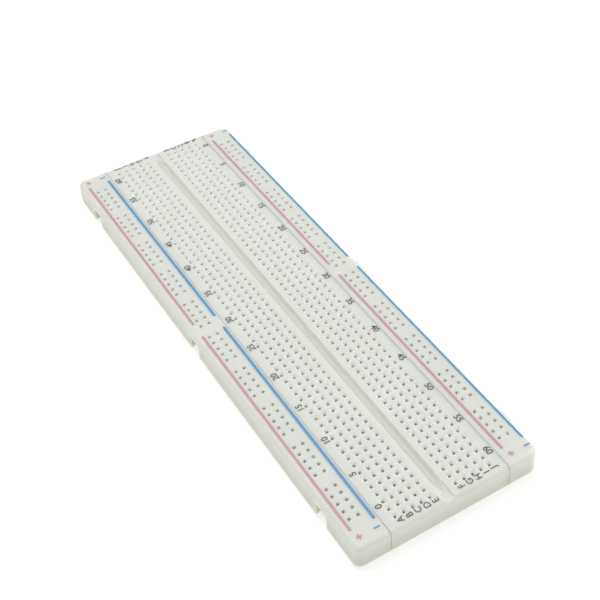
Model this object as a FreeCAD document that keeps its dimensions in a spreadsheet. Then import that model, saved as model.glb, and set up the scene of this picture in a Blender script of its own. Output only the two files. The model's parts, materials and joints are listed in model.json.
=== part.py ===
"""Solderless breadboard: a terminal strip with a power rail clipped to each long side.

Frame: millimetres, origin under the middle of the board on the surface it rests on,
+X along the length, +Y towards the left power rail (beside row A), +Z up.
"""
import FreeCAD, Part
import math
import os
import Sketcher
from FreeCAD import Rotation, Vector

# Driving dimensions, in millimetres unless the name says count or angle.
SIZES = {
    "pitch": 2.54,
    "board_length": 165.1,
    "board_height": 8.5,
    "terminal_width": 35.0,
    "rail_width": 9.6,
    "strip_gap": 0.05,
    # shell
    "roof_thick": 1.5,
    "left_corner": 2.0,
    "right_corner": 3.0,
    "crown_round": 1.4,
    "left_seam_round": 0.2,
    "right_seam_round": 0.05,
    # tie points
    "column_count": 63,
    "row_count": 5,
    "first_row": 3.81,
    "group_count": 10,
    "group_holes": 5,
    "mouth": 1.65,
    "throat": 0.75,
    "funnel_depth": 0.5,
    "funnel_angle": 41.5,
    "rail_mouth": 0.95,
    "rail_throat": 0.8,
    "rail_funnel_depth": 0.15,
    "rail_funnel_angle": 25.0,
    # clip channels
    "channel_width": 1.7,
    "channel_margin": 1.1,
    # centre groove
    "groove_width": 2.4,
    "groove_step": 0.5,
    "groove_rim_round": 0.4,
    "trough_radius": 1.15,
    "trough_length": 151.0,
    "trough_taper": 4.5,
    # dovetail tabs and slots
    "tab_spacing": 67.0,
    "tab_shift": 0.5,
    "tab_count": 3,
    "tab_neck": 4.4,
    "tab_tip": 5.2,
    "tab_reach": 1.4,
    "tab_play": 0.15,
    "slot_roof": 2.3,
    # spring clips
    "gauge": 0.2,
    "clip_half_width": 0.7,
    "clip_lift": 0.15,
    "finger_width": 1.9,
    "pinch_half": 0.08,
    "pinch_drop": 2.7,
    "flare_half": 0.42,
    "flare_drop": 1.8,
    "clips_per_group": 9,
    # backing
    "liner_thick": 0.1,
    "foam_thick": 1.3,
    "foam_inset": 1.4,
    "foam_slot_inset": 2.0,
    "foam_corner": 1.0,
}

SHELL_FLOOR = "(Sizes.liner_thick + Sizes.foam_thick)"
SHELL_HEIGHT = "(Sizes.board_height - Sizes.liner_thick - Sizes.foam_thick)"
RAIL_OFFSET = "(Sizes.terminal_width / 2 + Sizes.strip_gap + Sizes.rail_width / 2)"
ROOF_UNDERSIDE = "(Sizes.board_height - Sizes.roof_thick)"
CLIP_FLOOR = "(Sizes.liner_thick + Sizes.foam_thick + Sizes.clip_lift)"
LAST_ROW = "(Sizes.first_row + (Sizes.row_count - 1) * Sizes.pitch)"
MIDDLE_ROW = "(Sizes.first_row + (Sizes.row_count - 1) / 2 * Sizes.pitch)"
HALF_SPAN = "((Sizes.column_count - 1) / 2 * Sizes.pitch)"
GROUP_PITCH = "((Sizes.group_holes + 1) * Sizes.pitch)"
FIRST_RAIL_HOLE = "(Sizes.pitch - Sizes.group_count / 2 * " + GROUP_PITCH + ")"
BUS_LENGTH = "(Sizes.group_count / 2 * " + GROUP_PITCH + " - 2 * Sizes.pitch)"

# How close a coordinate has to be to count as lying on a face
NEAR = 0.01

# How much of its expected volume a pattern may miss, as a share
VOLUME_SHARE = 0.01

doc = FreeCAD.newDocument("breadboard")
patterns = []


def make_sheet():
    """Writes the driving dimensions into a spreadsheet, one alias for each."""
    sheet = doc.addObject("Spreadsheet::Sheet", "Sizes")
    for row, (alias, size) in enumerate(SIZES.items(), start=1):
        sheet.set("A%d" % row, alias)
        sheet.set("B%d" % row, str(size))
        sheet.setAlias("B%d" % row, alias)
    doc.recompute()


# Sketch and feature helpers

def origin_feature(body, role):
    """Finds the body's own origin plane or axis that has this role."""
    return [item for item in body.Origin.OriginFeatures if item.Role == role][0]


def new_sketch(body, name, role, level="0"):
    """Attaches a sketch to an origin plane, raised by level along the plane's normal."""
    sketch = body.newObject("Sketcher::SketchObject", name)
    sketch.AttachmentSupport = [(origin_feature(body, role), "")]
    sketch.MapMode = "FlatFace"
    sketch.setExpression("AttachmentOffset.Base.z", level)
    return sketch


def place_point(sketch, line, x, y):
    """Fixes a line's start point at x and y, two expressions measured from the origin."""
    for kind, text in (("DistanceX", x), ("DistanceY", y)):
        index = sketch.addConstraint(Sketcher.Constraint(kind, -1, 1, line, 1, 1.0))
        sketch.setExpression("Constraints[%d]" % index, text)


def polygon(sketch, corners):
    """Draws a closed outline through corners, each a pair of expressions."""
    first = len(sketch.Geometry)
    count = len(corners)
    turn = Rotation(Vector(0, 0, 1), 360.0 / count)
    point = Vector(1, 0, 0)
    for number in range(count):
        following = turn.multVec(point)
        sketch.addGeometry(Part.LineSegment(point, following), False)
        point = following
    for number in range(count):
        joint = (first + number, 2, first + (number + 1) % count, 1)
        sketch.addConstraint(Sketcher.Constraint("Coincident", *joint))
    for number, (x, y) in enumerate(corners):
        place_point(sketch, first + number, x, y)


def rectangle(sketch, x, y, width, depth):
    """Draws a rectangle by its centre and its two sizes, all expressions."""
    left = "%s - %s / 2" % (x, width)
    right = "%s + %s / 2" % (x, width)
    low = "%s - %s / 2" % (y, depth)
    high = "%s + %s / 2" % (y, depth)
    polygon(sketch, [(left, low), (right, low), (right, high), (left, high)])


def pad(body, sketch, name, length, midplane=False):
    feature = body.newObject("PartDesign::Pad", name)
    feature.Profile = sketch
    feature.Midplane = midplane
    feature.Refine = False
    feature.setExpression("Length", length)
    return feature


def pocket(body, sketch, name, depth, upward=False, taper=None):
    """Cuts the sketch into the body: down from its plane, or upward from it."""
    feature = body.newObject("PartDesign::Pocket", name)
    feature.Profile = sketch
    feature.Reversed = upward
    feature.Refine = False
    feature.setExpression("Length", depth)
    if taper:
        feature.setExpression("TaperAngle", taper)
    return feature


def pattern(body, features, name, *lines):
    """Repeats features in a line, or in a grid when a second line is given.

    Each line is the role of one of the body's axes, a count and a spacing.
    """
    steps = []
    for number, (role, count, spacing) in enumerate(lines, start=1):
        step_name = name if len(lines) == 1 else "%s_line_%d" % (name, number)
        step = body.newObject("PartDesign::LinearPattern", step_name)
        step.Direction = (origin_feature(body, role), [""])
        step.Mode = "Spacing"
        step.Refine = False
        step.setExpression("Offset", spacing)
        step.setExpression("Occurrences", count)
        steps.append(step)
    feature = steps[0]
    if len(steps) > 1:
        feature = body.newObject("PartDesign::MultiTransform", name)
        feature.Transformations = steps
        feature.Refine = False
    feature.Originals = features
    body.Tip = feature
    patterns.append((feature, features, steps))


def round_edges(body, name, radius, chosen):
    """Rounds the edges of the body's tip whose bounding box passes the chosen test."""
    doc.recompute()
    base = body.Tip
    names = []
    for number, edge in enumerate(base.Shape.Edges, start=1):
        if chosen(edge.BoundBox):
            names.append("Edge%d" % number)
    feature = body.newObject("PartDesign::Fillet", name)
    feature.Base = (base, names)
    feature.setExpression("Radius", radius)
    return feature


def new_body(label, y_centre="0"):
    body = doc.addObject("PartDesign::Body", label)
    body.Label = label
    body.setExpression("Placement.Base.y", y_centre)
    return body


# Housings

def shell(body, width, seams):
    """Makes the plain moulded block, crowned at its ends and on any side without a neighbour.

    seams names the seam on each side that has a neighbour: side 1 is +Y and side -1 is -Y.
    """
    outline = new_sketch(body, "outline", "XY_Plane", SHELL_FLOOR)
    rectangle(outline, "0", "0", "Sizes.board_length", "Sizes." + width)
    pad(body, outline, "block", SHELL_HEIGHT)
    top = SIZES["board_height"] - NEAR
    floor = SIZES["liner_thick"] + SIZES["foam_thick"] + NEAR
    wall = SIZES[width] / 2 - NEAR

    def on_side(box, side):
        return min(side * box.YMin, side * box.YMax) > wall

    def on_seam(box):
        return any(on_side(box, side) for side in seams)

    def upright_corner(box):
        return box.XLength < NEAR and box.YLength < NEAR and not on_seam(box)

    def crown_edge(box):
        return box.ZMin > top and not on_seam(box)

    if len(seams) == 1:
        corner = "Sizes.%s_corner" % list(seams.values())[0]
        round_edges(body, "corner_rounding", corner, upright_corner)
    round_edges(body, "crown_rounding", "Sizes.crown_round", crown_edge)
    for side, name in seams.items():
        def seam_edge(box, side=side):
            return box.ZMax > floor and on_side(box, side)

        round_edges(body, name + "_seam_rounding", "Sizes.%s_seam_round" % name, seam_edge)


def tabs_and_slots(body, width):
    """Cuts dovetail slots up into the +Y side and adds the matching tabs on the -Y side."""
    middle = "Sizes.tab_shift - Sizes.tab_spacing"
    wall = "%s / 2" % width
    neck = "(Sizes.tab_neck / 2 + Sizes.tab_play)"
    tip = "(Sizes.tab_tip / 2 + Sizes.tab_play)"
    reach = "(Sizes.tab_reach + Sizes.tab_play)"
    slot_sketch = new_sketch(body, "slot_outline", "XY_Plane", SHELL_FLOOR)
    polygon(slot_sketch, [
        ("%s - %s" % (middle, tip), "%s - %s" % (wall, reach)),
        ("%s + %s" % (middle, tip), "%s - %s" % (wall, reach)),
        ("%s + %s" % (middle, neck), wall),
        ("%s - %s" % (middle, neck), wall)])
    slot = pocket(body, slot_sketch, "slot", SHELL_HEIGHT + " - Sizes.slot_roof", upward=True)
    pattern(body, [slot], "slots", ("X_Axis", "Sizes.tab_count", "Sizes.tab_spacing"))
    tab_sketch = new_sketch(body, "tab_outline", "XY_Plane", SHELL_FLOOR)
    polygon(tab_sketch, [
        ("%s - Sizes.tab_neck / 2" % middle, "-%s" % wall),
        ("%s - Sizes.tab_tip / 2" % middle, "-%s - Sizes.tab_reach" % wall),
        ("%s + Sizes.tab_tip / 2" % middle, "-%s - Sizes.tab_reach" % wall),
        ("%s + Sizes.tab_neck / 2" % middle, "-%s" % wall)])
    height = SHELL_HEIGHT + " - Sizes.slot_roof - Sizes.tab_play"
    tab = pad(body, tab_sketch, "tab", height)
    pattern(body, [tab], "tabs", ("X_Axis", "Sizes.tab_count", "Sizes.tab_spacing"))


def tie_points(body, centres, sizes, channels):
    """Pockets one unit of tie points: a funnel and a throat for each, and the clip channels.

    centres holds each hole's x and y, sizes the mouth, throat, funnel depth and angle,
    channels the x, y, width and depth of each channel open at the underside.
    """
    mouth, throat, depth, angle = sizes
    mouth_sketch = new_sketch(body, "mouths", "XY_Plane", "Sizes.board_height")
    throat_sketch = new_sketch(body, "throats", "XY_Plane", "Sizes.board_height - %s" % depth)
    channel_sketch = new_sketch(body, "channels", "XY_Plane", SHELL_FLOOR)
    for x, y in centres:
        rectangle(mouth_sketch, x, y, mouth, mouth)
        rectangle(throat_sketch, x, y, throat, throat)
    for channel in channels:
        rectangle(channel_sketch, *channel)
    rise = ROOF_UNDERSIDE + " - " + SHELL_FLOOR
    return [pocket(body, mouth_sketch, "funnel", depth, taper="-%s" % angle),
            pocket(body, throat_sketch, "throat", "Sizes.roof_thick - %s + 0.01" % depth),
            pocket(body, channel_sketch, "channel", rise, upward=True)]


def cut_groove(body):
    """Cuts the centre groove between rows E and F.

    A shallow step runs out through both ends. The round-bottomed trough below it tapers to
    nothing before it reaches them.
    """
    step_sketch = new_sketch(body, "groove_outline", "XY_Plane", "Sizes.board_height")
    rectangle(step_sketch, "0", "0", "Sizes.board_length", "Sizes.groove_width")
    pocket(body, step_sketch, "groove", "Sizes.groove_step")
    top = SIZES["board_height"] - NEAR
    half_width = SIZES["groove_width"] / 2 + NEAR
    end_length = SIZES["crown_round"] + NEAR

    def rim_edge(box):
        inside = box.YMax < half_width and box.YMin > -half_width
        return inside and box.YLength < NEAR and (box.ZMin > top or box.XLength < end_length)

    round_edges(body, "groove_rim", "Sizes.groove_rim_round", rim_edge)
    trough_sketch = new_sketch(body, "trough_outline", "XZ_Plane")
    trough_sketch.setExpression("AttachmentOffset.Base.y", "Sizes.board_height - Sizes.groove_step")
    flat = "Sizes.trough_length / 2"
    reach = "(%s + Sizes.trough_taper)" % flat
    polygon(trough_sketch, [("-" + reach, "0"), ("-" + flat, "-Sizes.trough_radius"),
                            (flat, "-Sizes.trough_radius"), (reach, "0")])
    trough = body.newObject("PartDesign::Groove", "trough")
    trough.Profile = trough_sketch
    trough.ReferenceAxis = (trough_sketch, ["H_Axis"])
    trough.Angle = 360
    trough.Refine = False


def terminal_housing():
    body = new_body("terminal_housing")
    shell(body, "terminal_width", {1: "left", -1: "right"})
    cut_groove(body)
    tabs_and_slots(body, "Sizes.terminal_width")
    x = "-" + HALF_SPAN
    centres = []
    for sign in ("", "-"):
        for row in range(SIZES["row_count"]):
            centres.append((x, "%s(Sizes.first_row + %d * Sizes.pitch)" % (sign, row)))
    span = "(%s - Sizes.first_row + 2 * Sizes.channel_margin)" % LAST_ROW
    channels = [(x, sign + MIDDLE_ROW, "Sizes.channel_width", span) for sign in ("", "-")]
    sizes = ("Sizes.mouth", "Sizes.throat", "Sizes.funnel_depth", "Sizes.funnel_angle")
    unit = tie_points(body, centres, sizes, channels)
    pattern(body, unit, "columns", ("X_Axis", "Sizes.column_count", "Sizes.pitch"))


def rail_housing(label, y_centre, seams):
    body = new_body(label, y_centre)
    shell(body, "rail_width", seams)
    tabs_and_slots(body, "Sizes.rail_width")
    rows = ("Sizes.pitch / 2", "-Sizes.pitch / 2")
    centres = []
    for y in rows:
        for hole in range(SIZES["group_holes"]):
            centres.append(("%s + %d * Sizes.pitch" % (FIRST_RAIL_HOLE, hole), y))
    sizes = ("Sizes.rail_mouth", "Sizes.rail_throat", "Sizes.rail_funnel_depth",
             "Sizes.rail_funnel_angle")
    holes = tie_points(body, centres, sizes, bus_channels(rows))
    pattern(body, holes[:2], "groups", ("X_Axis", "Sizes.group_count", GROUP_PITCH))


def bus_centre(half):
    """Gives the middle of a half row of bus contacts, as an expression."""
    return "%s(%s / 2 + Sizes.pitch)" % (half, BUS_LENGTH)


def bus_channels(rows):
    length = "(%s + 2 * Sizes.channel_margin)" % BUS_LENGTH
    return [(bus_centre(half), y, length, "Sizes.channel_width") for y in rows for half in ("-", "")]


# Spring clips

def leaf(sketch, side):
    """Draws one leaf of a contact: it leans in to the pinch, then flares out to its tip."""
    root = side + "Sizes.clip_half_width"
    root_inner = side + "(Sizes.clip_half_width - Sizes.gauge)"
    pinch = side + "(Sizes.pinch_half + Sizes.gauge)"
    pinch_inner = side + "Sizes.pinch_half"
    tip = side + "(Sizes.flare_half + Sizes.gauge)"
    tip_inner = side + "Sizes.flare_half"
    pinch_level = "Sizes.board_height - Sizes.pinch_drop"
    tip_level = "Sizes.board_height - Sizes.flare_drop"
    polygon(sketch, [(root, CLIP_FLOOR), (pinch, pinch_level), (tip, tip_level),
                     (tip_inner, tip_level), (pinch_inner, pinch_level), (root_inner, CLIP_FLOOR)])


def column_clips(label, side, first_column):
    """Makes a group of five-contact clips, one separate solid under each half column."""
    body = new_body(label, side + MIDDLE_ROW)
    body.AllowCompound = True
    body.setExpression("Placement.Base.x", "%d * Sizes.pitch - %s" % (first_column, HALF_SPAN))
    span = "((Sizes.row_count - 1) * Sizes.pitch)"
    along_group = ("X_Axis", "Sizes.clips_per_group", "Sizes.pitch")
    spine_sketch = new_sketch(body, "spine_outline", "XY_Plane", CLIP_FLOOR)
    rectangle(spine_sketch, "0", "0", "2 * Sizes.clip_half_width", "(%s + Sizes.finger_width)" % span)
    spine = pad(body, spine_sketch, "spine", "Sizes.gauge")
    pattern(body, [spine], "spines", along_group)
    leaf_sketch = new_sketch(body, "leaf_outline", "XZ_Plane", span + " / 2")
    leaf(leaf_sketch, "")
    leaf(leaf_sketch, "-")
    leaves = pad(body, leaf_sketch, "leaves", "Sizes.finger_width", midplane=True)
    pattern(body, [leaves], "contacts", ("Y_Axis", "Sizes.row_count", "Sizes.pitch"), along_group)


def bus_clip(label, rail_centre, row, half):
    """Makes the long clip under half a row of a power rail, with a contact for each hole."""
    body = new_body(label, "%s + %s" % (rail_centre, row))
    body.setExpression("Placement.Base.x", bus_centre(half))
    spine_sketch = new_sketch(body, "spine_outline", "XY_Plane", CLIP_FLOOR)
    length = "(%s + Sizes.finger_width)" % BUS_LENGTH
    rectangle(spine_sketch, "0", "0", length, "2 * Sizes.clip_half_width")
    pad(body, spine_sketch, "spine", "Sizes.gauge")
    leaf_sketch = new_sketch(body, "leaf_outline", "YZ_Plane", "-%s / 2" % BUS_LENGTH)
    leaf(leaf_sketch, "")
    leaf(leaf_sketch, "-")
    leaves = pad(body, leaf_sketch, "leaves", "Sizes.finger_width", midplane=True)
    in_group = ("X_Axis", "Sizes.group_holes", "Sizes.pitch")
    group_to_group = ("X_Axis", "Sizes.group_count / 2", GROUP_PITCH)
    pattern(body, [leaves], "contacts", in_group, group_to_group)


# Backing

def backing_sheet(label, width, y_centre, level, thickness):
    """Makes a thin sheet under a strip, held back from the edges and from the slots."""
    body = new_body(label, y_centre)
    sketch = new_sketch(body, "outline", "XY_Plane", level)
    depth = "(%s - Sizes.foam_inset - Sizes.foam_slot_inset)" % width
    centre = "(Sizes.foam_inset - Sizes.foam_slot_inset) / 2"
    rectangle(sketch, "0", centre, "(Sizes.board_length - 2 * Sizes.foam_inset)", depth)
    pad(body, sketch, "sheet", thickness)

    def corner(box):
        return box.XLength < NEAR and box.YLength < NEAR

    round_edges(body, "corners", "Sizes.foam_corner", corner)


# Checking and writing

def check_document():
    """Stops if any object failed to recompute or any feature left nothing or cut nothing."""
    for item in doc.Objects:
        assert "Invalid" not in item.State and "Error" not in item.State, item.Label
    volumes = {}
    for body in bodies():
        volumes.update(check_features(body))
    check_patterns(volumes)


def check_features(body):
    """Gives the volume that each feature of a body adds, and stops at one that does nothing."""
    volumes = {}
    before = 0.0
    for feature in body.Group:
        if not feature.TypeId.startswith("PartDesign::"):
            continue
        shape = feature.Shape
        if shape.isNull():
            continue
        after = shape.Volume
        assert after > 0, "%s %s is empty" % (body.Label, feature.Label)
        if feature.TypeId in ("PartDesign::Pocket", "PartDesign::Groove"):
            assert before - after > NEAR, "%s %s cuts nothing" % (body.Label, feature.Label)
        volumes[feature.Name] = after - before
        before = after
    return volumes


def check_patterns(volumes):
    """Stops if a pattern did not change the volume as often as its counts say."""
    for feature, features, steps in patterns:
        total = math.prod(step.Occurrences for step in steps)
        single = sum(volumes[item.Name] for item in features)
        expected = single * (total - 1)
        share = abs(volumes[feature.Name] - expected) / abs(expected)
        assert share < VOLUME_SHARE, "%s misses a copy" % feature.Label


def bodies():
    return [item for item in doc.Objects if item.TypeId == "PartDesign::Body"]


def usable_shapes():
    """Gives every sub-part's label and shape, and stops if a shape is null or invalid."""
    shapes = []
    for body in bodies():
        shape = body.Shape
        assert not shape.isNull() and shape.isValid(), body.Label
        shapes.append((body.Label, shape))
    return shapes


def write_steps(shapes):
    os.makedirs("parts", exist_ok=True)
    for label, shape in shapes:
        print("%-28s %9.2f mm3, %d solids" % (label, shape.Volume, len(shape.Solids)))
        shape.exportStep("parts/%s.step" % label)


make_sheet()

LEFT_CENTRE = RAIL_OFFSET
RIGHT_CENTRE = "-" + RAIL_OFFSET
for name, width, y_centre in (("terminal", "Sizes.terminal_width", "0"),
                              ("left_rail", "Sizes.rail_width", LEFT_CENTRE),
                              ("right_rail", "Sizes.rail_width", RIGHT_CENTRE)):
    backing_sheet(name + "_foam_pad", width, y_centre, "Sizes.liner_thick", "Sizes.foam_thick")
    backing_sheet(name + "_release_liner", width, y_centre, "0", "Sizes.liner_thick")

for group in range(SIZES["column_count"] // SIZES["clips_per_group"]):
    first_column = group * SIZES["clips_per_group"]
    column_clips("column_clips_ae_%d" % (group + 1), "", first_column)
    column_clips("column_clips_fj_%d" % (group + 1), "-", first_column)

for rail, y_centre in (("left", LEFT_CENTRE), ("right", RIGHT_CENTRE)):
    for sign, row in (("plus", "Sizes.pitch / 2"), ("minus", "-Sizes.pitch / 2")):
        for end, half in (("near", "-"), ("far", "")):
            bus_clip("%s_%s_bus_%s" % (rail, sign, end), y_centre, row, half)

rail_housing("left_rail_housing", LEFT_CENTRE, {-1: "left"})
rail_housing("right_rail_housing", RIGHT_CENTRE, {1: "right"})
terminal_housing()

doc.recompute()
check_document()
write_steps(usable_shapes())
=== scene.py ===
"""Solderless breadboard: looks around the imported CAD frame. Metres, +Z up, rest surface at z = 0."""
import json
import math

import bmesh
import bpy
from mathutils import Matrix, Vector


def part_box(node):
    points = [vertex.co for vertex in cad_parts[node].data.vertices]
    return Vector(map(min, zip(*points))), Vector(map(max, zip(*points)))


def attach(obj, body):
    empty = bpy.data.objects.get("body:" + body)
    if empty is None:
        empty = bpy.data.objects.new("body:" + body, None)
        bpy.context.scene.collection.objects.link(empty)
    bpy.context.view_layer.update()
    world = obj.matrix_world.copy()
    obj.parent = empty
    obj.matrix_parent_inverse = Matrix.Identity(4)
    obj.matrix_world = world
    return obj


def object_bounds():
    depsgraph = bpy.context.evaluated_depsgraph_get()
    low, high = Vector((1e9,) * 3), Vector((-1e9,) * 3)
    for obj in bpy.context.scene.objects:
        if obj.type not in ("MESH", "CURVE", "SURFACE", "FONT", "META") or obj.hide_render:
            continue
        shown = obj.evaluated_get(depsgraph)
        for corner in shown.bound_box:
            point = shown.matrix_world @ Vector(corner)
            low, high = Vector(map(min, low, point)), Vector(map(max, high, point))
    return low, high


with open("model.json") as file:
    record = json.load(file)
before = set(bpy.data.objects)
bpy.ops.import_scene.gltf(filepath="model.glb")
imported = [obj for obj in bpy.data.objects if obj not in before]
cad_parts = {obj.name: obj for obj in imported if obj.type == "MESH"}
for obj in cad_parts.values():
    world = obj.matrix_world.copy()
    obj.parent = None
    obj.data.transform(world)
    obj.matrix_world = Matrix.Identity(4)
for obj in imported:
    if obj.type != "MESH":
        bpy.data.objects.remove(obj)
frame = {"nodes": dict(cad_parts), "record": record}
cad_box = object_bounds()

MM = 0.001
PITCH = 2.54 * MM
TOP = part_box("terminal_housing")[1].z
FIRST_ROW = 1.5 * PITCH
ROWS = 5


def rail_middle(plus_bus_box):
    """Gives a rail's middle line, half a pitch from its plus row."""
    return sum((corner.y for corner in plus_bus_box), 0.0) / 2 - PITCH / 2


LEFT_RAIL = ("left_rail", rail_middle(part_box("left_plus_bus_near")))
RIGHT_RAIL = ("right_rail", rail_middle(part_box("right_plus_bus_near")))


# Camera, floor and light

CAMERA_POINT = Vector((-0.20532, 0.10431, TOP + 0.22495))
AIM_POINT = Vector((-0.00395, -0.00475, TOP))
CAMERA_ROLL = math.radians(-3.68)
CAMERA_LENS = 67.86
WORLD_COLOUR = (1.0, 1.0, 0.99)
WORLD_STRENGTH = 0.41
FLOOR_GREY = 0.60
FLOOR_GLOW = 0.56
FLOOR_HALF_SIZE = 3.0


def make_camera():
    data = bpy.data.cameras.new("camera")
    data.lens = CAMERA_LENS
    data.sensor_width = 36.0
    data.clip_start = 0.01
    camera = bpy.data.objects.new("camera", data)
    bpy.context.scene.collection.objects.link(camera)
    turn = (AIM_POINT - CAMERA_POINT).to_track_quat("-Z", "Y").to_matrix()
    turn = turn @ Matrix.Rotation(CAMERA_ROLL, 3, "Z")
    camera.matrix_world = Matrix.Translation(CAMERA_POINT) @ turn.to_4x4()
    bpy.context.scene.camera = camera


def area_light(name, place, aim, size, power, colour):
    """Adds a disk light at a place, aimed at a point, with its power in watts."""
    data = bpy.data.lights.new(name, "AREA")
    data.shape = "DISK"
    data.size = size
    data.energy = power
    data.color = colour
    light = bpy.data.objects.new(name, data)
    bpy.context.scene.collection.objects.link(light)
    light.location = place
    light.rotation_euler = (Vector(aim) - Vector(place)).to_track_quat("-Z", "Y").to_euler()


def make_light():
    world = bpy.data.worlds.new("studio")
    bpy.context.scene.world = world
    world.use_nodes = True
    background = world.node_tree.nodes["Background"]
    background.inputs["Color"].default_value = (*WORLD_COLOUR, 1.0)
    background.inputs["Strength"].default_value = WORLD_STRENGTH
    area_light("overhead", (0.24, 0.08, 0.80), (0, 0, 0), 0.8, 4.1, WORLD_COLOUR)
    area_light("corner_fill", (-0.20, -0.42, 0.20), (-0.08, -0.02, 0), 0.2, 0.65, (1.0, 0.99, 0.96))
    bpy.context.scene.view_settings.view_transform = "Standard"


def make_floor():
    data = bpy.data.meshes.new("floor")
    work = bmesh.new()
    bmesh.ops.create_grid(work, x_segments=1, y_segments=1, size=FLOOR_HALF_SIZE)
    work.to_mesh(data)
    work.free()
    floor = bpy.data.objects.new("floor", data)
    bpy.context.scene.collection.objects.link(floor)
    material, shader, _ = new_material("floor_white")
    shader.inputs["Base Color"].default_value = (FLOOR_GREY, FLOOR_GREY, FLOOR_GREY, 1.0)
    shader.inputs["Roughness"].default_value = 0.8
    shader.inputs["Emission Color"].default_value = (1.0, 1.0, 1.0, 1.0)
    shader.inputs["Emission Strength"].default_value = FLOOR_GLOW
    data.materials.append(material)


# Material helpers

def new_material(name):
    material = bpy.data.materials.new(name)
    material.use_nodes = True
    nodes = material.node_tree.nodes
    return material, nodes["Principled BSDF"], nodes


def link(material, source, target):
    material.node_tree.links.new(source, target)


def noise(material, scale, detail=3.0, roughness=0.5, stretch=(1.0, 1.0, 1.0)):
    """Adds object-space noise, whose scale is in cycles per metre."""
    nodes = material.node_tree.nodes
    place = nodes.new("ShaderNodeTexCoord")
    mapping = nodes.new("ShaderNodeMapping")
    mapping.inputs["Scale"].default_value = stretch
    texture = nodes.new("ShaderNodeTexNoise")
    texture.inputs["Scale"].default_value = scale
    texture.inputs["Detail"].default_value = detail
    texture.inputs["Roughness"].default_value = roughness
    link(material, place.outputs["Object"], mapping.inputs["Vector"])
    link(material, mapping.outputs["Vector"], texture.inputs["Vector"])
    return texture.outputs["Fac"]


def ramp(material, source, stops):
    """Maps a value to colours at the given places."""
    node = material.node_tree.nodes.new("ShaderNodeValToRGB")
    elements = node.color_ramp.elements
    elements[0].position, elements[0].color = stops[0][0], (*stops[0][1], 1.0)
    elements[1].position, elements[1].color = stops[-1][0], (*stops[-1][1], 1.0)
    for position, colour in stops[1:-1]:
        elements.new(position).color = (*colour, 1.0)
    link(material, source, node.inputs["Fac"])
    return node.outputs["Color"]


def value_range(material, source, low, high, span=(0.0, 1.0)):
    """Maps a value from its span to the range from low to high."""
    node = material.node_tree.nodes.new("ShaderNodeMapRange")
    node.inputs["From Min"].default_value = span[0]
    node.inputs["From Max"].default_value = span[1]
    node.inputs["To Min"].default_value = low
    node.inputs["To Max"].default_value = high
    link(material, source, node.inputs["Value"])
    return node.outputs["Result"]


def bump(material, height, strength, distance, under=None):
    node = material.node_tree.nodes.new("ShaderNodeBump")
    node.inputs["Strength"].default_value = strength
    node.inputs["Distance"].default_value = distance
    link(material, height, node.inputs["Height"])
    if under:
        link(material, under, node.inputs["Normal"])
    return node.outputs["Normal"]


def calculate(material, operation, *values):
    """Runs one math operation on sockets or numbers."""
    node = material.node_tree.nodes.new("ShaderNodeMath")
    node.operation = operation
    for socket, value in zip(node.inputs, values):
        if isinstance(value, (int, float)):
            socket.default_value = value
        else:
            link(material, value, socket)
    return node.outputs["Value"]


def multiply(material, first, second):
    """Multiplies two colours."""
    node = material.node_tree.nodes.new("ShaderNodeMix")
    node.data_type = "RGBA"
    node.blend_type = "MULTIPLY"
    node.inputs[0].default_value = 1.0
    link(material, first, node.inputs[6])
    link(material, second, node.inputs[7])
    return node.outputs[2]


# Materials

# The painted light's share of the base colour inside the tie points and seams, and the spans over which
# it fades in or out
TERMINAL_PAINTED_LIGHT = 0.22
RAIL_PAINTED_LIGHT = 0.12
RAIL_START = (17.6 * MM, 18.2 * MM)
PAST_LAST_COLUMN = (80.2 * MM, 80.4 * MM)
PAST_LAST_RAIL_ROW = (26.1 * MM, 26.3 * MM)
PAST_GROOVE = (1.6 * MM, 1.8 * MM)
BELOW_TOP = (TOP - 0.02 * MM, TOP - 0.25 * MM)
# Painted shade: over this span of height, the walls darken and warm towards their lower edge, down to
# this colour
WALL_PAINTED_SHADE_SPAN = (1.0 * MM, TOP - 0.8 * MM)
WALL_PAINTED_SHADE = (0.80, 0.79, 0.70)


def inner_lift(material, place):
    """Gives a factor over 1 for the base colour inside the tie points and seams, and 1 elsewhere.

    It is painted light, standing for light that passes through the thin webs. The amounts are set by
    look, not measured.
    """
    along = calculate(material, "ABSOLUTE", place.outputs["X"])
    across = calculate(material, "ABSOLUTE", place.outputs["Y"])
    strength = value_range(material, across, TERMINAL_PAINTED_LIGHT, RAIL_PAINTED_LIGHT, RAIL_START)
    for mask in (value_range(material, along, 1.0, 0.0, PAST_LAST_COLUMN),
                 value_range(material, across, 1.0, 0.0, PAST_LAST_RAIL_ROW),
                 value_range(material, across, 0.0, 1.0, PAST_GROOVE),
                 value_range(material, place.outputs["Z"], 0.0, 1.0, BELOW_TOP)):
        strength = calculate(material, "MULTIPLY", strength, mask)
    return calculate(material, "ADD", strength, 1.0)


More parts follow.
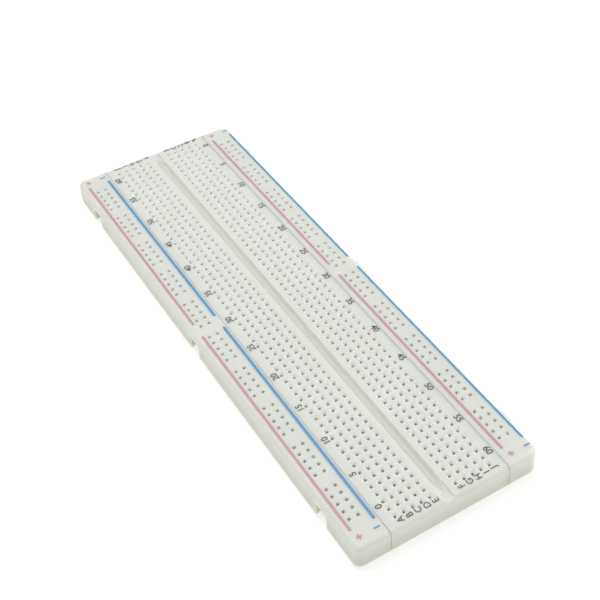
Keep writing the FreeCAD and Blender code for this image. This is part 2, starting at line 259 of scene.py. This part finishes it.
def housing_plastic():
    """Moulded ABS, warm greenish white, with a fine spark-eroded grain and faint flow clouds.

    The walls are a little duller and warmer towards their lower edge. This is painted shade, also set
    by look.
    """
    material, shader, nodes = new_material("housing_plastic")
    clouds = noise(material, 55.0, 4.0)
    colour = ramp(material, clouds, [(0.3, (0.770, 0.785, 0.735)), (0.7, (0.795, 0.808, 0.760))])
    place = nodes.new("ShaderNodeTexCoord")
    split = nodes.new("ShaderNodeSeparateXYZ")
    link(material, place.outputs["Object"], split.inputs["Vector"])
    # Painted shade by height: darker and warmer low on the walls
    level = value_range(material, split.outputs["Z"], 0.0, 1.0, WALL_PAINTED_SHADE_SPAN)
    painted_shade = ramp(material, level, [(0.0, WALL_PAINTED_SHADE), (1.0, (1.0, 1.0, 1.0))])
    # Painted light: the colour is lifted inside the tie points and seams
    colour = multiply(material, multiply(material, colour, painted_shade), inner_lift(material, split))
    link(material, colour, shader.inputs["Base Color"])
    grain = noise(material, 5200.0, 2.0, 0.6)
    link(material, value_range(material, grain, 0.42, 0.58), shader.inputs["Roughness"])
    waves = noise(material, 320.0, 2.0)
    soft = bump(material, waves, 0.25, 0.00008)
    link(material, bump(material, grain, 0.35, 0.00002, soft), shader.inputs["Normal"])
    shader.inputs["Subsurface Weight"].default_value = 1.0
    shader.inputs["Subsurface Radius"].default_value = (0.0018, 0.0017, 0.0014)
    shader.inputs["Subsurface Scale"].default_value = 1.0
    shader.inputs["IOR"].default_value = 1.53
    return material


def contact_metal():
    """Nickel-plated phosphor bronze strip with fine rolling lines along the leaves."""
    material, shader, _ = new_material("contact_metal")
    lines = noise(material, 900.0, 2.0, 0.5, (1.0, 6.0, 0.2))
    colour = ramp(material, lines, [(0.3, (0.86, 0.85, 0.80)), (0.7, (0.93, 0.92, 0.88))])
    link(material, colour, shader.inputs["Base Color"])
    link(material, value_range(material, lines, 0.22, 0.38), shader.inputs["Roughness"])
    link(material, bump(material, lines, 0.2, 0.00001), shader.inputs["Normal"])
    shader.inputs["Metallic"].default_value = 1.0
    return material


def foam():
    """Closed-cell adhesive foam."""
    material, shader, nodes = new_material("adhesive_foam")
    cells = nodes.new("ShaderNodeTexVoronoi")
    cells.inputs["Scale"].default_value = 2600.0
    place = nodes.new("ShaderNodeTexCoord")
    link(material, place.outputs["Object"], cells.inputs["Vector"])
    distance = cells.outputs["Distance"]
    colour = ramp(material, distance, [(0.0, (0.55, 0.55, 0.50)), (0.6, (0.80, 0.80, 0.76))])
    link(material, colour, shader.inputs["Base Color"])
    link(material, bump(material, distance, 0.6, 0.0001), shader.inputs["Normal"])
    shader.inputs["Roughness"].default_value = 0.9
    return material


def liner_paper():
    """Siliconised kraft paper: fibres in the colour, a faint sheen."""
    material, shader, _ = new_material("liner_paper")
    fibres = noise(material, 1400.0, 5.0, 0.7, (0.25, 1.0, 1.0))
    colour = ramp(material, fibres, [(0.3, (0.66, 0.58, 0.42)), (0.7, (0.80, 0.74, 0.60))])
    link(material, colour, shader.inputs["Base Color"])
    link(material, bump(material, fibres, 0.3, 0.00003), shader.inputs["Normal"])
    shader.inputs["Roughness"].default_value = 0.45
    return material


def ink(name, thin, full):
    """Screen-printed ink: slightly uneven film with a soft gloss."""
    material, shader, _ = new_material(name)
    film = noise(material, 2400.0, 4.0, 0.65)
    link(material, ramp(material, film, [(0.3, thin), (0.55, full)]), shader.inputs["Base Color"])
    link(material, value_range(material, film, 0.5, 0.3), shader.inputs["Roughness"])
    link(material, bump(material, film, 0.3, 0.00001), shader.inputs["Normal"])
    return material


# Printing

INK_FILM = 0.02 * MM
CAPITAL_SHARE = 0.7
BOLD_SHARE = 0.012
LETTER_SPACING = 0.95
LETTERS = "ABCDEFGHIJ"
LETTER_HEIGHT = 1.75 * MM
LETTER_X = {"near": -80.35 * MM, "far": 81.1 * MM}
LETTER_SHIFT = -0.45 * MM
NUMBER_HEIGHT = 1.85 * MM
LAST_NUMBER = 60
NUMBER_STEP = 5
CROWN_ROUND = 1.4 * MM
CROWN_START = cad_box[1].x - CROWN_ROUND
CROWN_CUTS = 5
CROWN_CUT_STEP = 0.2 * MM

# Each number row's reading direction, middle line, shift along the board, and how far its first and
# last numbers are drawn in
NUMBER_ROWS = {"a": (1, 15.87 * MM, 0.25 * MM, 0.57 * PITCH),
               "j": (-1, -16.3 * MM, 0.45 * MM, 0.2 * PITCH)}


def ink_piece(name, work, material, body):
    """Turns a bmesh of printed shapes into a piece that rides on a body."""
    data = bpy.data.meshes.new(name)
    work.to_mesh(data)
    work.free()
    piece = bpy.data.objects.new(name, data)
    bpy.context.scene.collection.objects.link(piece)
    data.materials.append(material)
    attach(piece, body)


def outline_solid(work, outline):
    """Adds a film with this closed outline: a flat top and a thin wall down to the plastic."""
    count = len(outline)
    top = [work.verts.new((x, y, TOP + INK_FILM)) for x, y in outline]
    low = [work.verts.new((x, y, TOP - INK_FILM / 2)) for x, y in outline]
    work.faces.new(top)
    work.faces.new(low[::-1])
    for number in range(count):
        following = (number + 1) % count
        work.faces.new((low[number], low[following], top[following], top[number]))


def stroke(start, end, width, steps=8):
    """Gives the outline of a straight printed line with rounded ends."""
    start, end = Vector(start), Vector(end)
    along = (end - start).normalized()
    across = Vector((-along.y, along.x))
    radius = width / 2
    outline = []
    for centre, sign in ((end, 1.0), (start, -1.0)):
        for step in range(steps + 1):
            angle = -math.pi / 2 + math.pi * step / steps
            offset = along * math.cos(angle) + across * math.sin(angle)
            outline.append(tuple(centre + offset * radius * sign))
    return outline


def add_text(work, text, place, height, turned):
    """Adds one printed character or number, centred on place, with its capital height."""
    curve = bpy.data.curves.new("print_text", "FONT")
    curve.body = text
    curve.align_x = "CENTER"
    curve.align_y = "CENTER"
    curve.size = height / CAPITAL_SHARE
    curve.offset = height * BOLD_SHARE
    curve.space_character = LETTER_SPACING
    curve.extrude = INK_FILM * 0.75
    curve.resolution_u = 4
    holder = bpy.data.objects.new("print_text", curve)
    bpy.context.scene.collection.objects.link(holder)
    bpy.context.view_layer.update()
    graph = bpy.context.evaluated_depsgraph_get()
    data = bpy.data.meshes.new_from_object(holder.evaluated_get(graph))
    low = [min(vertex.co[axis] for vertex in data.vertices) for axis in range(2)]
    high = [max(vertex.co[axis] for vertex in data.vertices) for axis in range(2)]
    middle = Vector(((low[0] + high[0]) / 2, (low[1] + high[1]) / 2, 0))
    centre = Vector((place[0], place[1], TOP + INK_FILM * 0.25))
    turn = Matrix.Rotation(math.pi if turned else 0.0, 4, "Z")
    data.transform(Matrix.Translation(centre) @ turn @ Matrix.Translation(-middle))
    work.from_mesh(data)
    bpy.data.objects.remove(holder)
    bpy.data.curves.remove(curve)
    bpy.data.meshes.remove(data)


def row_y(number):
    """Gives the place across the board of row A (0) to J (9)."""
    if number < ROWS:
        return FIRST_ROW + (ROWS - 1 - number) * PITCH
    return -FIRST_ROW - (number - ROWS) * PITCH


def print_letters(black):
    """Prints A to J at the near end and, turned round, at the far end."""
    for name, x in LETTER_X.items():
        work = bmesh.new()
        for number, letter in enumerate(LETTERS):
            y = row_y(number) if x < 0 else -row_y(number)
            add_text(work, letter, (x, y + LETTER_SHIFT), LETTER_HEIGHT, x > 0)
        bend_over_crown(work)
        ink_piece("row_letters_" + name, work, black, "terminal")


def bend_over_crown(work):
    """Lays the printing that reaches past the flat top down onto the rounded ends."""
    for side in (-1, 1):
        for step in range(CROWN_CUTS):
            x = side * (CROWN_START + step * CROWN_CUT_STEP)
            geometry = work.verts[:] + work.edges[:] + work.faces[:]
            bmesh.ops.bisect_plane(work, geom=geometry, plane_co=(x, 0, 0), plane_no=(1, 0, 0))
    for vertex in work.verts:
        past = abs(vertex.co.x) - CROWN_START
        if past > 0:
            vertex.co.z -= CROWN_ROUND - math.sqrt(CROWN_ROUND ** 2 - past ** 2)


def print_numbers(black):
    """Prints 0 to 60 by fives beside row A, and turned round beside row J."""
    for name, (sign, y, shift, inward) in NUMBER_ROWS.items():
        work = bmesh.new()
        for number in range(0, LAST_NUMBER + 1, NUMBER_STEP):
            x = (number - LAST_NUMBER // 2) * PITCH
            if number == 0:
                x += inward
            if number == LAST_NUMBER:
                x -= inward
            add_text(work, str(number), (sign * x + shift, y), NUMBER_HEIGHT, sign < 0)
        ink_piece("column_numbers_" + name, work, black, "terminal")


LINE_ENDS = ((-76.5 * MM, -1.5 * MM), (4.2 * MM, 76.9 * MM))

# Each line's offset from its rail's middle line, and its width
RED_LINE = (2.8 * MM, 0.62 * MM)
BLUE_LINES = {"left_rail": (-3.85 * MM, 0.74 * MM), "right_rail": (-3.58 * MM, 0.60 * MM)}

SIGN_X = (-79.1 * MM, 79.6 * MM)
PLUS_OFFSET = 2.0 * MM
MINUS_OFFSET = -3.0 * MM
PLUS_SIZE = 1.5 * MM
SIGN_STROKE = 0.4 * MM
MINUS_SIZE = 1.8 * MM


def print_rail(rail, red, blue):
    """Prints one rail's broken lines and the signs at both ends."""
    body, y = rail
    for colour, (offset, width), material in (("red", RED_LINE, red), ("blue", BLUE_LINES[body], blue)):
        work = bmesh.new()
        for start, end in LINE_ENDS:
            outline_solid(work, stroke((start, y + offset), (end, y + offset), width))
        ink_piece("%s_%s_line" % (body, colour), work, material, body)
    plus = bmesh.new()
    minus = bmesh.new()
    for x in SIGN_X:
        outline_solid(plus, plus_outline(x, y + PLUS_OFFSET))
        low = y + MINUS_OFFSET - MINUS_SIZE / 2 + SIGN_STROKE / 2
        high = y + MINUS_OFFSET + MINUS_SIZE / 2 - SIGN_STROKE / 2
        outline_solid(minus, stroke((x, low), (x, high), SIGN_STROKE))
    ink_piece(body + "_plus_signs", plus, red, body)
    ink_piece(body + "_minus_signs", minus, blue, body)


def plus_outline(x, y):
    """Gives the twelve-cornered outline of a plus sign."""
    arm = PLUS_SIZE / 2
    half = SIGN_STROKE / 2
    outline = []
    for quarter in range(4):
        turn = Matrix.Rotation(quarter * math.pi / 2, 2)
        for corner in ((arm, -half), (arm, half), (half, half)):
            point = turn @ Vector(corner)
            outline.append((x + point.x, y + point.y))
    return outline


# Assembly

def dress_nodes():
    """Gives every CAD node the material of its slot."""
    materials = {"housing": housing_plastic(), "contact": contact_metal(),
                 "foam": foam(), "liner": liner_paper()}
    for row in frame["record"]["subparts"]:
        node = frame["nodes"][row["node"]]
        node.data.materials.clear()
        node.data.materials.append(materials[row["material_slot"]])


make_camera()
make_light()
make_floor()
dress_nodes()
red_ink = ink("red_ink", (0.72, 0.37, 0.42), (0.66, 0.30, 0.355))
blue_ink = ink("blue_ink", (0.16, 0.40, 0.64), (0.10, 0.32, 0.60))
black_ink = ink("black_ink", (0.17, 0.17, 0.163), (0.10, 0.10, 0.096))
print_letters(black_ink)
print_numbers(black_ink)
print_rail(LEFT_RAIL, red_ink, blue_ink)
print_rail(RIGHT_RAIL, red_ink, blue_ink)
